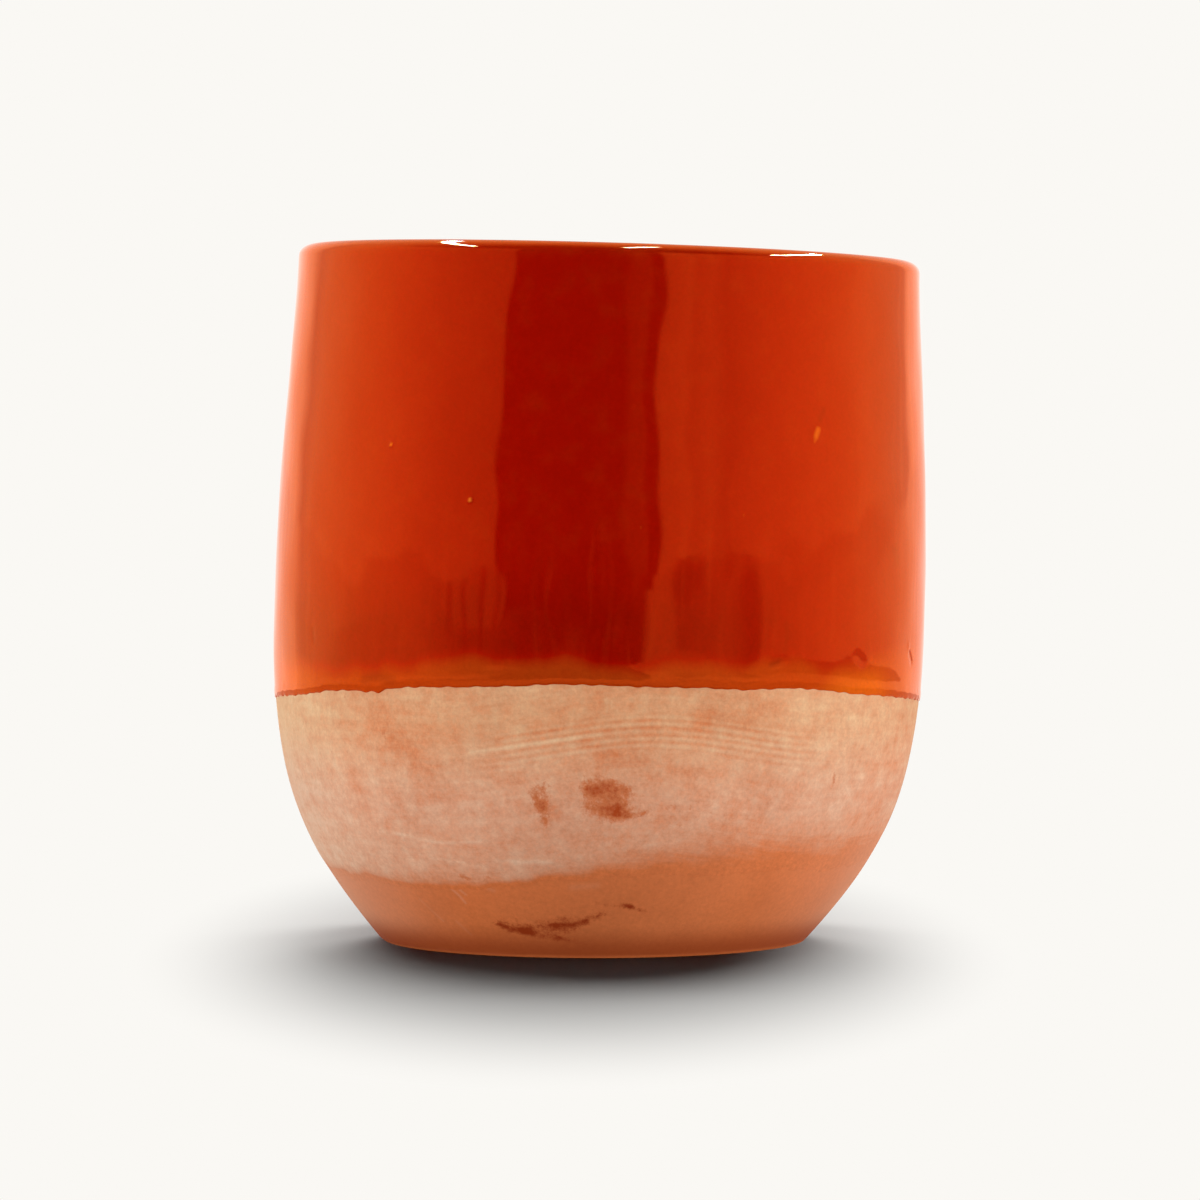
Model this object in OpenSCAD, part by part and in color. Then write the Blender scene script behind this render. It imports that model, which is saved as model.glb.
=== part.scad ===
// Wheel-thrown earthenware tumbler, half dipped in a glossy red-orange glaze.
// Millimetres. The origin is the middle of the foot on the table, +Z is up and
// -Y is the front. The thrown axis leans a little towards +X, and the foot is
// cut level, as on a cup that was cut off the wheel with a cord.

/* [Thrown form] */
// Height of the lip above the table, along the thrown axis
cup_height = 90; // [70:1:120]
// Widest diameter of the clay
belly_diameter = 85.1; // [76:0.1:96]
// Height of the widest place
belly_height = 43.2; // [36:0.1:52]
// Outer diameter of the clay just under the lip
mouth_diameter = 81.1; // [70:0.1:88]
// Diameter where the wall springs from the rounded foot edge
foot_diameter = 55.6; // [44:0.1:64]
// Lean of the wall away from upright where it leaves the foot
foot_flare_angle = 41; // [25:1:50]
// Radius of the rounded edge round the foot
foot_edge_radius = 3.2; // [1:0.1:5]
// Inward lean of the wall under the lip
lip_draw_in_angle = 1.5; // [0:0.1:5]
// Lean of the thrown axis from upright
axis_lean_angle = 1.7; // [0:0.1:3]

/* [Wall and floor] */
// Wall at the widest place
wall_thickness = 4.2; // [3:0.1:6]
// Wall just under the lip
lip_thickness = 3.2; // [2.4:0.1:5]
// Rise of the rounded lip above its straight wall
lip_crown = 1.3; // [0.6:0.1:2.5]
// Clay under the inside floor
floor_thickness = 7; // [4:0.1:10]
// Diameter of the flat part of the inside floor
floor_diameter = 30; // [16:0.5:38]
// Height of one throwing ring on the inside wall
throwing_ring_pitch = 6.5; // [4:0.5:12]
// How far a throwing ring stands in from the wall
throwing_ring_depth = 0.35; // [0.1:0.05:0.8]
// Width of the low button left in the middle of the inside floor
floor_button_diameter = 13; // [6:0.5:16]
// Height of that button
floor_button_height = 0.8; // [0.2:0.1:1.5]

/* [Coats] */
// Thickness of the dipped outer glaze
outer_glaze_thickness = 0.25; // [0.15:0.05:0.6]
// Thickness of the poured glaze inside
liner_glaze_thickness = 0.25; // [0.15:0.05:0.6]
// Thickness of the chalky slip below the glaze
slip_thickness = 0.12; // [0.05:0.01:0.3]
// Height of the glaze line at the axis
glaze_line_height = 31.6; // [27:0.1:40]
// Tilt of the glaze line, high at the front
glaze_line_tilt = 4.5; // [0:0.1:7]
// How far the outer glaze laps down inside the lip
glaze_lap = 4; // [2:0.5:10]
// Height of the slip's lower edge at the axis
slip_edge_height = 12; // [9:0.1:18]
// Tilt of the slip's lower edge, high on the leaning side
slip_edge_tilt = 3.2; // [0:0.1:5]

/* [Hidden] */
$fn = 180;

// How far each curve keeps its starting direction, as shares of its height
foot_curve_share = 0.386;
below_belly_share = 0.52;
above_belly_share = 0.41;
below_lip_share = 0.273;
inner_floor_curve_share = 0.36;
inner_belly_curve_share = 0.50;
// Heights over which the throwing rings fade in and out, as shares of the inner wall
ring_fade_share = 0.12;
// Clay thrown below the table line and cut away, so that the leaning cup stands level
sole_margin = 0.16;
wall_steps = 26;
inner_wall_steps = 44;
round_steps = 7;
button_steps = 5;

foot_radius = foot_diameter / 2;
belly_radius = belly_diameter / 2;
mouth_radius = mouth_diameter / 2;
lip_base_height = cup_height - lip_crown;
sole_depth = foot_radius * sin(axis_lean_angle) + sole_margin;
foot_spring_height = foot_edge_radius * (1 - sin(foot_flare_angle)) - sole_depth;
foot_round_centre = [foot_radius - foot_edge_radius * cos(foot_flare_angle), foot_edge_radius - sole_depth];
lower_wall_height = belly_height - foot_spring_height;
upper_wall_height = lip_base_height - belly_height;
inner_lower_height = belly_height - floor_thickness;

// A cubic curve from a to d that leaves a towards b and reaches d from c
function curve(a, b, c, d, steps) = [
    for (i = [0:steps])
        let (t = i / steps, u = 1 - t)
            u * u * u * a + 3 * u * u * t * b + 3 * u * t * t * c + t * t * t * d
];

function without_first(points) = [for (i = [1:len(points) - 1]) points[i]];

foot_edge = [
    for (i = [0:round_steps - 1])
        let (turn = -90 + (90 - foot_flare_angle) * i / round_steps)
            foot_round_centre + foot_edge_radius * [cos(turn), sin(turn)]
];
lower_wall = curve(
    [foot_radius, foot_spring_height],
    [foot_radius, foot_spring_height]
        + foot_curve_share * lower_wall_height * [sin(foot_flare_angle), cos(foot_flare_angle)],
    [belly_radius, belly_height - below_belly_share * lower_wall_height],
    [belly_radius, belly_height],
    wall_steps
);
upper_wall = curve(
    [belly_radius, belly_height],
    [belly_radius, belly_height + above_belly_share * upper_wall_height],
    [mouth_radius, lip_base_height]
        + below_lip_share * upper_wall_height * [sin(lip_draw_in_angle), -cos(lip_draw_in_angle)],
    [mouth_radius, lip_base_height],
    wall_steps
);
lip = [
    for (i = [1:2 * round_steps - 1])
        let (turn = 90 * i / round_steps)
            [
                mouth_radius - lip_thickness / 2 + lip_thickness / 2 * cos(turn),
                lip_base_height + lip_crown * sin(turn)
            ]
];
inner_belly = [belly_radius - wall_thickness, belly_height];
inner_upper_wall = curve(
    [mouth_radius - lip_thickness, lip_base_height],
    [mouth_radius - lip_thickness, lip_base_height]
        + below_lip_share * upper_wall_height * [sin(lip_draw_in_angle), -cos(lip_draw_in_angle)],
    inner_belly + [0, above_belly_share * upper_wall_height],
    inner_belly,
    inner_wall_steps
);
inner_lower_wall = curve(
    inner_belly,
    inner_belly - [0, inner_belly_curve_share * inner_lower_height],
    [floor_diameter / 2 + inner_floor_curve_share * inner_lower_height, floor_thickness],
    [floor_diameter / 2, floor_thickness],
    inner_wall_steps
);
floor_button = [
    for (i = [0:button_steps])
        let (share = i / button_steps)
            [
                floor_button_diameter / 2 * (1 - share),
                floor_thickness + floor_button_height * (1 - cos(180 * share)) / 2
            ]
];

// The fingers' rings stand in from the smooth inner wall and die out at the lip and the floor
function ring_fade(height) =
    let (
        reach = ring_fade_share * (lip_base_height - floor_thickness),
        low = (height - floor_thickness) / reach,
        high = (lip_base_height - height) / reach
    )
        max(0, min(1, low, high));
function with_ring(point) =
    let (wave = (1 - cos(360 * (point[1] - floor_thickness) / throwing_ring_pitch)) / 2)
        point - [throwing_ring_depth * wave * ring_fade(point[1]), 0];

inner_wall = [
    for (point = concat(inner_upper_wall, without_first(inner_lower_wall))) with_ring(point)
];
outer_wall = concat(lower_wall, without_first(upper_wall));
surface = concat(foot_edge, outer_wall, lip, inner_wall, floor_button);
lip_end = len(foot_edge) + len(outer_wall) + len(lip);
lap_end = lip_end + len([for (point = inner_wall) if (point[1] > lip_base_height - glaze_lap) point]);

// Outward direction of the clay's surface at one of its points
function outward(i) =
    let (
        before = surface[max(0, i - 1)],
        after = surface[min(len(surface) - 1, i + 1)],
        along = after - before
    )
        [along[1], -along[0]] / norm(along);

// Outline of a coat that lies on the clay's surface from one of its points to another
function coat_outline(first, last, thickness) = concat(
    [for (i = [first:last]) surface[i]],
    [for (i = [last:-1:first]) [max(0, surface[i][0] + thickness * outward(i)[0]),
                                surface[i][1] + thickness * outward(i)[1]]]
);

module thrown(outline) {
    rotate([0, axis_lean_angle, 0]) rotate_extrude() polygon(outline);
}

// All space above a plane that crosses the upright axis at a height
module above(height, turn) {
    translate([0, 0, height]) rotate(turn)
        translate([-belly_diameter, -belly_diameter, 0])
            cube([2 * belly_diameter, 2 * belly_diameter, 2 * cup_height]);
}

module clay_body() {
    color("#b5683f") intersection() {
        thrown(concat([[0, -sole_depth]], surface));
        above(0, [0, 0, 0]);
    }
}

module outer_glaze() {
    color("#b52d08") intersection() {
        thrown(coat_outline(len(foot_edge), lap_end, outer_glaze_thickness));
        above(glaze_line_height, [-glaze_line_tilt, 0, 0]);
    }
}

module slip_wash() {
    color("#d3a283") difference() {
        intersection() {
            thrown(coat_outline(len(foot_edge), len(foot_edge) + len(lower_wall), slip_thickness));
            above(slip_edge_height, [0, -slip_edge_tilt, 0]);
        }
        above(glaze_line_height, [-glaze_line_tilt, 0, 0]);
    }
}

module liner_glaze() {
    color("#a32806")
        thrown(coat_outline(lap_end, len(surface) - 1, liner_glaze_thickness));
}

clay_body();
slip_wash();
outer_glaze();
liner_glaze();
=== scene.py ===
"""A thrown earthenware tumbler, half dipped in a glossy red-orange glaze.

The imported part's four pieces are made again as thin closed shells on one slightly
uneven thrown surface. They stand on a pale floor in a light room. Metres throughout:
+Z is up, -Y is the front, and a turn is measured from the front towards +X.
"""

import math

import bpy
import numpy as np
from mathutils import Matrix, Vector


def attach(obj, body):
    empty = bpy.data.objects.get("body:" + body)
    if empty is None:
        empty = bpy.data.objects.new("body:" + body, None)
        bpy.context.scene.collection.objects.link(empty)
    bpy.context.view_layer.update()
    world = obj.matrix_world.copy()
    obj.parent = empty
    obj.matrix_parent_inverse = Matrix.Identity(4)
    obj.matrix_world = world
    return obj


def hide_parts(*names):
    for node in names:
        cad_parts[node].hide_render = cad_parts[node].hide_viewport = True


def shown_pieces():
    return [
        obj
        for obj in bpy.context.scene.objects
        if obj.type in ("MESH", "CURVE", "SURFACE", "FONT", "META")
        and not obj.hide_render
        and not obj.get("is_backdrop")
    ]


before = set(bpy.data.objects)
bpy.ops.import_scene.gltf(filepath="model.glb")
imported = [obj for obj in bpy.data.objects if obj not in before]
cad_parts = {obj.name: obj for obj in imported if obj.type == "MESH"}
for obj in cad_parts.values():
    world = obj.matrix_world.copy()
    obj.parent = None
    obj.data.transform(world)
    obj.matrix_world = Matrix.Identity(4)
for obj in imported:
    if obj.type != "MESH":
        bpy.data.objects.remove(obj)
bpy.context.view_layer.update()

bl_info = {
    "name": "Half-Glazed Clay Cup",
    "version": (1, 0, 0),
    "blender": (4, 5, 0),
    "location": "3D Viewport > Sidebar > Clay Cup",
    "description": "Makes a thrown clay tumbler with a dipped glaze, a brushed slip and its studio",
    "category": "Add Mesh",
}

MM = 0.001
BODY = "root"

# Columns of points round the outside, and round the plainer inside
FINE_COLUMNS = 1080
PLAIN_COLUMNS = 720
# Rows of points up each stretch of the surface
SOLE_ROWS = 60
BARE_ROWS = 130
HIDDEN_ROWS = 36
INSIDE_ROWS = 90
SLIP_ROWS = 124
GLAZE_ROWS = 210
LINER_ROWS = 200
CURVE_POINTS = 200
ARC_POINTS = 60
# The clay's close rows run from this far inside the foot's edge to this far up the wall
FOOT_INSET = 4 * MM
BARE_REACH = 23 * MM
# Radius of the last ring round the middle of the sole or the floor
POLE_RADIUS = 0.4 * MM


# Thrown form

# How far each curve of the outline keeps its starting direction, as shares of its height
FOOT_CURVE = 0.386
BELOW_BELLY = 0.52
ABOVE_BELLY = 0.41
BELOW_LIP = 0.273
INNER_FLOOR_CURVE = 0.36
INNER_BELLY_CURVE = 0.50
# Clay thrown below the table line and cut away, so that the leaning cup stands level
SOLE_MARGIN = 0.16 * MM
# Height over which the fingers' spiral fades in and out, as a share of the inner wall
SPIRAL_FADE = 0.12
# How far the lower wall stands over to the left, and shares of the height where that fades
LOW_PUSH = 0.15 * MM
LOW_PUSH_FADE = (0.03, 0.3)
# Share of the height below which the wall is too firm to be uneven
FIRM_FOOT = 0.12
# The cutting cord's grooves in the sole: middle of their arcs, spacing, depth and reach
CORD_MIDDLE = (9 * MM, -31 * MM)
CORD_SPACING = 2.1 * MM
CORD_DEPTH = 0.22 * MM
CORD_REACH = (23 * MM, 27 * MM)
# Heights of the uncut clay between which the grooves end at the foot's edge
CORD_HEIGHTS = (-0.3 * MM, 0.05 * MM)
# Softness of the edge that the cord left round the foot
CUT_SOFTNESS = 0.15 * MM
SOLE_MIDDLE = (0, 0, 0.05 * MM)

# Unevenness of the thrown wall: depth in mm, waves round the cup, waves up it, phase
WALL_WAVES = (
    (0.030, 9, 1.5, 0.4),
    (0.022, -13, 2.6, 2.1),
    (0.014, 17, 4.2, 4.0),
    (0.008, -23, 6.5, 1.2),
    (0.004, 31, 9.0, 5.0),
)

# The glaze line's drift from its tilted plane: turn in degrees, height in mm
GLAZE_LINE_DRIFT = (
    (-170, 0.20), (-140, -0.15), (-112, 0.10), (-82, 0.14), (-66, -0.05), (-59, 0.05),
    (-54, 0.28), (-46, 0.14), (-44, -0.10), (-42.4, -0.05), (-40.8, -0.28), (-38.8, 0.16),
    (-34, 0.34), (-24, 0.21), (-13, 0.24), (-8, 0.46), (0, 0.32), (8, 0.09), (19, 0.04),
    (25, -0.15), (35, 0.22), (42, 0.09), (50, -0.26), (61, -0.30), (68, -0.38),
    (80, -0.36), (104, -0.10), (132, 0.22), (158, -0.12),
)

# Height of the slip's lower edge, and how far above it the slip fades: degrees, mm, mm
SLIP_EDGE = (
    (-160, 11.4, 2.4), (-120, 10.5, 2.4), (-76, 9.3, 2.8), (-44, 9.1, 2.6),
    (-24, 8.9, 2.4), (-10, 10.3, 2.6), (5, 11.0, 4.4), (21, 11.0, 9.0), (40, 11.0, 10.4),
    (59, 10.6, 9.6), (90, 11.4, 5.6), (125, 12.4, 2.8), (160, 12.2, 2.2),
)

# How much of the clay the slip hides: turn in degrees, share
SLIP_COVER = (
    (-150, 0.60), (-110, 0.80), (-75, 0.93), (-60, 0.80), (-50, 0.66), (-40, 0.57), (-30, 0.56),
    (-20, 0.58), (-10, 0.56), (0, 0.50), (10, 0.50), (20, 0.52), (30, 0.53), (40, 0.63),
    (50, 0.67), (60, 0.59), (70, 0.56), (95, 0.70), (130, 0.50), (165, 0.62),
)

# Chalky film that the slip's water left on the bare clay, with painted sheen that pales the sides: turn in
# degrees, share
CLAY_FILM_AND_SHEEN = (
    (-180, 0.15), (-110, 0.36), (-75, 0.40), (-60, 0.25), (-50, 0.17), (-40, 0.07), (-28, 0.02),
    (0, 0.04), (25, 0.05), (38, 0.04), (50, 0.09), (60, 0.15), (70, 0.26), (90, 0.32), (130, 0.10),
)

# Fine waves of the coats' edges: height in mm, waves round the cup, phase, how far the waves
# wander to the sides, and how many times they do it
GLAZE_SCALLOPS = ((0.05, 83, 0.0, 2, 9), (0.035, 137, 1.3, 0, 0))
GLAZE_SAG = ((0.5, 7, 1.0, 0, 0), (0.35, 19, 0.0, 0, 0), (0.2, 43, 2.0, 0, 0))
SLIP_RAGS = ((0.22, 21, 0.0, 3, 5), (0.10, 64, 0.0, 1, 23))

# Brush and finger marks: strength, half width in mm, then each bend's turn in degrees and height in mm

# Thicker (positive) and thinner (negative) places in the slip
SLIP_BLOTCHES = (
    (-0.20, 3.0, (-42, 31), (-39, 28.5), (-33, 27)), (-0.10, 2.6, (-1, 30.5), (2, 26.5)),
    (0.08, 2.4, (35, 25), (47, 27)), (-0.10, 2.4, (60, 20), (66, 17)), (-0.09, 2.0, (19, 31), (28, 31)),
    (0.28, 0.28, (-22.1, 26.8), (-13.1, 27.8), (-6.2, 28.5), (0.6, 29.1)),
    (0.22, 0.22, (-41, 16.2), (-31, 15.1), (-22, 15.4)), (0.20, 0.22, (-36, 13.4), (-26, 12.6)),
    (0.25, 0.25, (1.4, 33.5), (1.6, 32.2)), (0.25, 0.22, (2.3, 33.3), (2.5, 32.5)),
    (0.20, 0.25, (-19, 13.1), (-8, 12.9)), (0.16, 0.3, (4, 14.6), (16, 15.6)),
)
# Places where the slip is rubbed off to the clay
SLIP_WORN = (
    (0.40, 1.25, (-9.6, 22.2), (-9.2, 20.6)), (0.34, 0.85, (-9.1, 20.0), (-8.9, 18.6)),
    (0.28, 0.40, (-8.9, 18.4), (-8.7, 17.6)), (0.22, 0.50, (-11.0, 21.6), (-10.2, 20.4)),
    (0.38, 1.80, (-0.2, 22.3), (2.0, 21.4), (2.8, 20.0)), (0.32, 1.30, (2.0, 22.6), (5.6, 21.6)),
    (0.42, 0.80, (-1.4, 22.3), (0.2, 22.0)), (0.20, 0.70, (2.4, 22.8), (5.4, 22.2)),
    (0.42, 1.00, (-1.0, 20.0), (1.4, 19.6), (4.0, 19.4)), (0.30, 0.90, (4.4, 20.2), (5.8, 19.6)),
    (0.36, 0.60, (4.0, 18.9), (6.6, 18.9), (8.6, 19.2)), (0.20, 0.50, (9.0, 19.4), (10.8, 19.8)),
    (0.24, 0.40, (13.0, 19.9), (15.2, 19.9)), (0.26, 0.32, (17.3, 19.8)), (0.26, 0.34, (19.2, 19.4)),
    (0.25, 0.34, (21.6, 19.1)), (0.24, 0.32, (24.2, 18.8)), (0.24, 0.26, (15.2, 17.9), (16.1, 17.3)),
    (0.48, 0.34, (-27.5, 10.9), (-26.2, 10.5)), (0.20, 0.40, (-25.6, 10.4), (-20, 10.9)),
    (0.45, 0.26, (-39.8, 28.9)), (0.36, 0.26, (-56.3, 23.3)), (0.42, 0.28, (47.4, 23.4), (47.6, 22.4)),
    (0.34, 0.26, (-49.2, 33.2)), (0.36, 0.26, (35.5, 30.5)), (0.32, 0.26, (-44.5, 31.5)),
)
# Dark streaks that wet fingers left on the clay
CLAY_STAINS = (
    (0.30, 1.60, (-20, 4.4), (-12, 3.9), (-5, 4.1)), (0.24, 1.20, (-6, 4.6), (0, 5.4), (2, 5.8)),
    (0.42, 0.66, (-21.5, 4.5), (-19.6, 4.0), (-17.0, 3.7), (-14.5, 3.5)),
    (0.28, 0.60, (-15.8, 3.5), (-11.4, 2.9), (-7.7, 2.8)),
    (0.34, 0.42, (-8.0, 2.7), (-4.1, 2.4), (-1.0, 2.0)),
    (0.24, 0.60, (-15.6, 4.2), (-12.1, 4.3), (-8.2, 4.4)),
    (0.26, 0.50, (-8.8, 4.5), (-4.0, 4.5), (-1.4, 4.9)),
    (0.26, 0.50, (-1.5, 5.0), (-0.4, 5.6), (2.6, 6.1)), (0.20, 0.55, (-12, 5.2), (-6, 5.4)),
    (0.50, 0.55, (6.7, 7.3), (8.3, 7.1)), (0.40, 0.42, (8.3, 7.1), (9.9, 6.7), (11.8, 6.4)),
    (0.28, 0.34, (1.4, 7.5), (3.6, 7.3), (5.5, 7.1)),
    (0.22, 0.40, (-29.5, 5.4), (-26.2, 4.8), (-23, 4.7)),
    (0.28, 0.28, (-17.2, 5.3)), (0.28, 0.28, (-5.8, 5.5)), (0.26, 0.25, (-9.0, 7.9)),
)
# Fine pale scratches across the bare clay
CLAY_SCRATCHES = (
    (0.30, 0.14, (-31.5, 9.4), (-29.5, 8.1), (-28.6, 7.2)), (0.26, 0.13, (-29.4, 9.2), (-27.8, 8.3)),
    (0.24, 0.13, (-27.6, 10.2), (-26.4, 9.4)), (0.22, 0.14, (-41, 7.4), (-37, 4.6)),
    (0.10, 0.30, (-24, 9.8), (-21, 9.0)), (0.07, 0.50, (-4, 9.6), (1, 9.9)),
    (0.10, 0.20, (-33, 4.6), (-30.5, 2.9)),
)
# How much the glaze pooled above its line: turn in degrees, share
GLAZE_POOL = (
    (-180, 1.0), (-75, 1.0), (-50, 1.0), (20, 0.9), (36, 0.4), (44, 0.0), (78, 0.0), (110, 0.8),
)
# Dents (negative) and beads (positive) in the glaze, their strength in mm
GLAZE_DENTS = (
    (-0.03, 0.60, (50.2, 38.4), (51.6, 37.6)), (-0.07, 0.38, (69.8, 38.2), (71.4, 37.0)),
    (0.05, 0.5, (69.0, 39.2)),
    (-0.03, 0.45, (30.5, 37.7), (32.5, 38.0)), (-0.03, 0.4, (-58.7, 41.6), (-58.3, 40.2)),
    (0.10, 0.30, (-23.0, 58.2)), (0.10, 0.30, (-39.5, 65.1)), (0.06, 0.55, (39.4, 66.8), (39.0, 66.1)),
)
# Pale flecks and painted sheen (positive), and dark smudges and painted shade in the dents (negative), in
# the glaze
GLAZE_FLECKS_AND_PAINTED_LIGHT = (
    (0.8, 0.26, (-23.0, 58.2)), (0.7, 0.24, (-39.5, 65.1)), (0.26, 0.22, (6.4, 54.8)),
    (0.26, 0.22, (24.3, 56.3)), (0.42, 0.48, (39.5, 67.0), (39.0, 66.1)), (0.20, 0.30, (38.7, 65.4)),
    (-0.28, 0.6, (41.0, 69.5), (39.9, 68.2)),
    # Painted shade in the dents, at the dents' own places, among dark smudges
    (-0.38, 0.32, (69.8, 38.2), (71.4, 37.0)), (-0.24, 1.40, (61.6, 51.6), (62.4, 50.4)),
    (-0.30, 0.60, (50.0, 38.5), (51.8, 37.4)),
    (-0.42, 0.55, (30.3, 37.6), (31.8, 38.0)), (-0.22, 0.60, (33.2, 42.8), (33.0, 39.4)),
    (-0.28, 0.50, (-58.7, 41.6), (-58.3, 40.2)),
    (-0.35, 0.8, (-43.7, 35.5), (-40.6, 36.0), (-37.4, 35.6)),
    # Painted sheen: paler glaze near its lower edge on both sides
    (0.21, 4.5, (48, 34), (62, 36), (86, 37)), (0.20, 3.0, (38, 32), (56, 33.5)),
    (0.22, 4.0, (-78, 36), (-62, 35)),
)

# Painted shade: a dark band just above the foot, where it meets the table. Its strength, and the heights
# where it starts, is full, fades and ends
FOOT_SHADE = 0.75
FOOT_SHADE_BAND = (0.0, 0.6 * MM, 0.6 * MM, 5.0 * MM)
# Height over which the chalky film and its painted sheen start above the foot
FILM_AND_SHEEN_RISE = 4 * MM
# Share of the slip's thickness that is left at its faded edge, and share that rubbing takes off
FADED_SLIP = 0.05
RUBBED_OFF = 0.7

# Arcs that the bristles left below the glaze. Their crest, how far they fall to each side, the
# crest's turn, and the turn over which they fall
ARC_CREST = 30.1 * MM
ARC_FALL = 2.9 * MM
ARC_TURN = 0.16
ARC_SPREAD = 0.62
# Where the arcs start, are full, fade and end: up the wall from the crest, and in radians round it
ARC_BAND = (-3.6 * MM, -2.0 * MM, 0.9 * MM, 2.2 * MM)
ARC_TURNS = (-0.42, -0.25, 0.55, 0.85)
ARC_STRENGTH = 0.22
# The brush's streaks are drawn long round the cup, by this share of the true distance
STREAK_SHARE = 0.09

# Rounding of each coat's edge
SLIP_EDGE_ROUND = 0.7 * MM
GLAZE_EDGE_ROUND = 0.3 * MM
LINER_EDGE_ROUND = 0.35 * MM
# Distances in mm of the close rows at an edge
SLIP_EDGE_ROWS = (0, 0.02, 0.06, 0.12, 0.2)
GLAZE_EDGE_ROWS = (0, 0.03, 0.08, 0.15, 0.25, 0.4, 0.6, 0.85, 1.15, 1.5, 1.9)
# How far the slip runs on under the glaze
SLIP_UNDER_GLAZE = 0.2 * MM
# How far past the lap the outer glaze ends and the liner starts, so that they overlap
LAP_END = 1.1 * MM
LINER_START = 0.75 * MM
# Roll of thicker glaze along its edge: share of the thickness, distance from the edge, half width
ROLL = 0.35
ROLL_PLACE = 0.8 * MM
ROLL_WIDTH = 0.6 * MM
# How far below the lip the wall's unevenness dies out
EVEN_LIP = 2 * MM
# Glaze that drained to a thin line above its edge, pooled over that and ran thin off the lip:
# strengths, and distances above the edge
DRAINED = 0.95
DRAINED_FADE = (1.6 * MM, 4.0 * MM)
POOLED = 0.42
POOLED_BAND = (3.0 * MM, 4.8 * MM, 7 * MM, 17 * MM)
THIN_LIP = 0.8
THIN_LIP_WIDTH = 1.5 * MM


def linear(code):
    """Linear colour, with alpha, of an sRGB hex value."""
    channels = [int(code[i:i + 2], 16) / 255 for i in (1, 3, 5)]
    return [c / 12.92 if c <= 0.04045 else ((c + 0.055) / 1.055) ** 2.4 for c in channels] + [1.0]


class CupSizes(bpy.types.PropertyGroup):
    """Sizes of the thrown form and of its coats."""

    cup_height: bpy.props.FloatProperty(
        name="Cup Height", description="Lip above the table, along the thrown axis",
        default=0.0900, unit="LENGTH",
    )
    belly_diameter: bpy.props.FloatProperty(
        name="Belly Diameter", description="Widest diameter of the clay",
        default=0.0851, unit="LENGTH",
    )
    belly_height: bpy.props.FloatProperty(
        name="Belly Height", description="Height of the widest place",
        default=0.0432, unit="LENGTH",
    )
    mouth_diameter: bpy.props.FloatProperty(
        name="Mouth Diameter", description="Outer diameter of the clay just under the lip",
        default=0.0811, unit="LENGTH",
    )
    foot_diameter: bpy.props.FloatProperty(
        name="Foot Diameter", description="Diameter where the wall springs from the foot edge",
        default=0.0556, unit="LENGTH",
    )
    foot_flare_angle: bpy.props.FloatProperty(
        name="Foot Flare", description="Lean of the wall from upright where it leaves the foot",
        default=math.radians(41), subtype="ANGLE",
    )
    foot_edge_radius: bpy.props.FloatProperty(
        name="Foot Edge Radius", description="Radius of the rounded edge round the foot",
        default=0.0032, unit="LENGTH",
    )
    lip_draw_in_angle: bpy.props.FloatProperty(
        name="Lip Draw-In", description="Inward lean of the wall under the lip",
        default=math.radians(1.5), subtype="ANGLE",
    )
    axis_lean_angle: bpy.props.FloatProperty(
        name="Axis Lean", description="Lean of the thrown axis towards +X",
        default=math.radians(1.7), subtype="ANGLE",
    )
    wall_thickness: bpy.props.FloatProperty(
        name="Wall Thickness", description="Wall at the widest place",
        default=0.0042, unit="LENGTH",
    )
    lip_thickness: bpy.props.FloatProperty(
        name="Lip Thickness", description="Wall just under the lip",
        default=0.0032, unit="LENGTH",
    )
    lip_crown: bpy.props.FloatProperty(
        name="Lip Crown", description="Rise of the rounded lip above its straight wall",
        default=0.0013, unit="LENGTH",
    )
    floor_thickness: bpy.props.FloatProperty(
        name="Floor Thickness", description="Clay under the inside floor",
        default=0.0070, unit="LENGTH",
    )
    floor_diameter: bpy.props.FloatProperty(
        name="Floor Diameter", description="Diameter of the flat part of the inside floor",
        default=0.0300, unit="LENGTH",
    )
    throwing_ring_pitch: bpy.props.FloatProperty(
        name="Throwing Ring Pitch", description="Rise of the fingers' spiral in one turn",
        default=0.0065, unit="LENGTH",
    )
    throwing_ring_depth: bpy.props.FloatProperty(
        name="Throwing Ring Depth", description="How far the spiral stands in from the wall",
        default=0.00035, unit="LENGTH",
    )
    floor_button_diameter: bpy.props.FloatProperty(
        name="Floor Button Diameter", description="Low button in the middle of the inside floor",
        default=0.0130, unit="LENGTH",
    )
    floor_button_height: bpy.props.FloatProperty(
        name="Floor Button Height", description="Height of that button",
        default=0.0008, unit="LENGTH",
    )
    outer_glaze_thickness: bpy.props.FloatProperty(
        name="Outer Glaze", description="Thickness of the dipped outer glaze",
        default=0.00025, unit="LENGTH",
    )
    liner_glaze_thickness: bpy.props.FloatProperty(
        name="Liner Glaze", description="Thickness of the poured glaze inside",
        default=0.00025, unit="LENGTH",
    )
    slip_thickness: bpy.props.FloatProperty(
        name="Slip", description="Thickness of the chalky slip below the glaze",
        default=0.00012, unit="LENGTH",
    )
    glaze_line_height: bpy.props.FloatProperty(
        name="Glaze Line Height", description="Height of the glaze line at the axis",
        default=0.0316, unit="LENGTH",
    )
    glaze_line_tilt: bpy.props.FloatProperty(
        name="Glaze Line Tilt", description="Tilt of the glaze line, high at the front",
        default=math.radians(4.5), subtype="ANGLE",
    )
    glaze_lap: bpy.props.FloatProperty(
        name="Glaze Lap", description="How far the outer glaze laps down inside the lip",
        default=0.0040, unit="LENGTH",
    )


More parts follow.
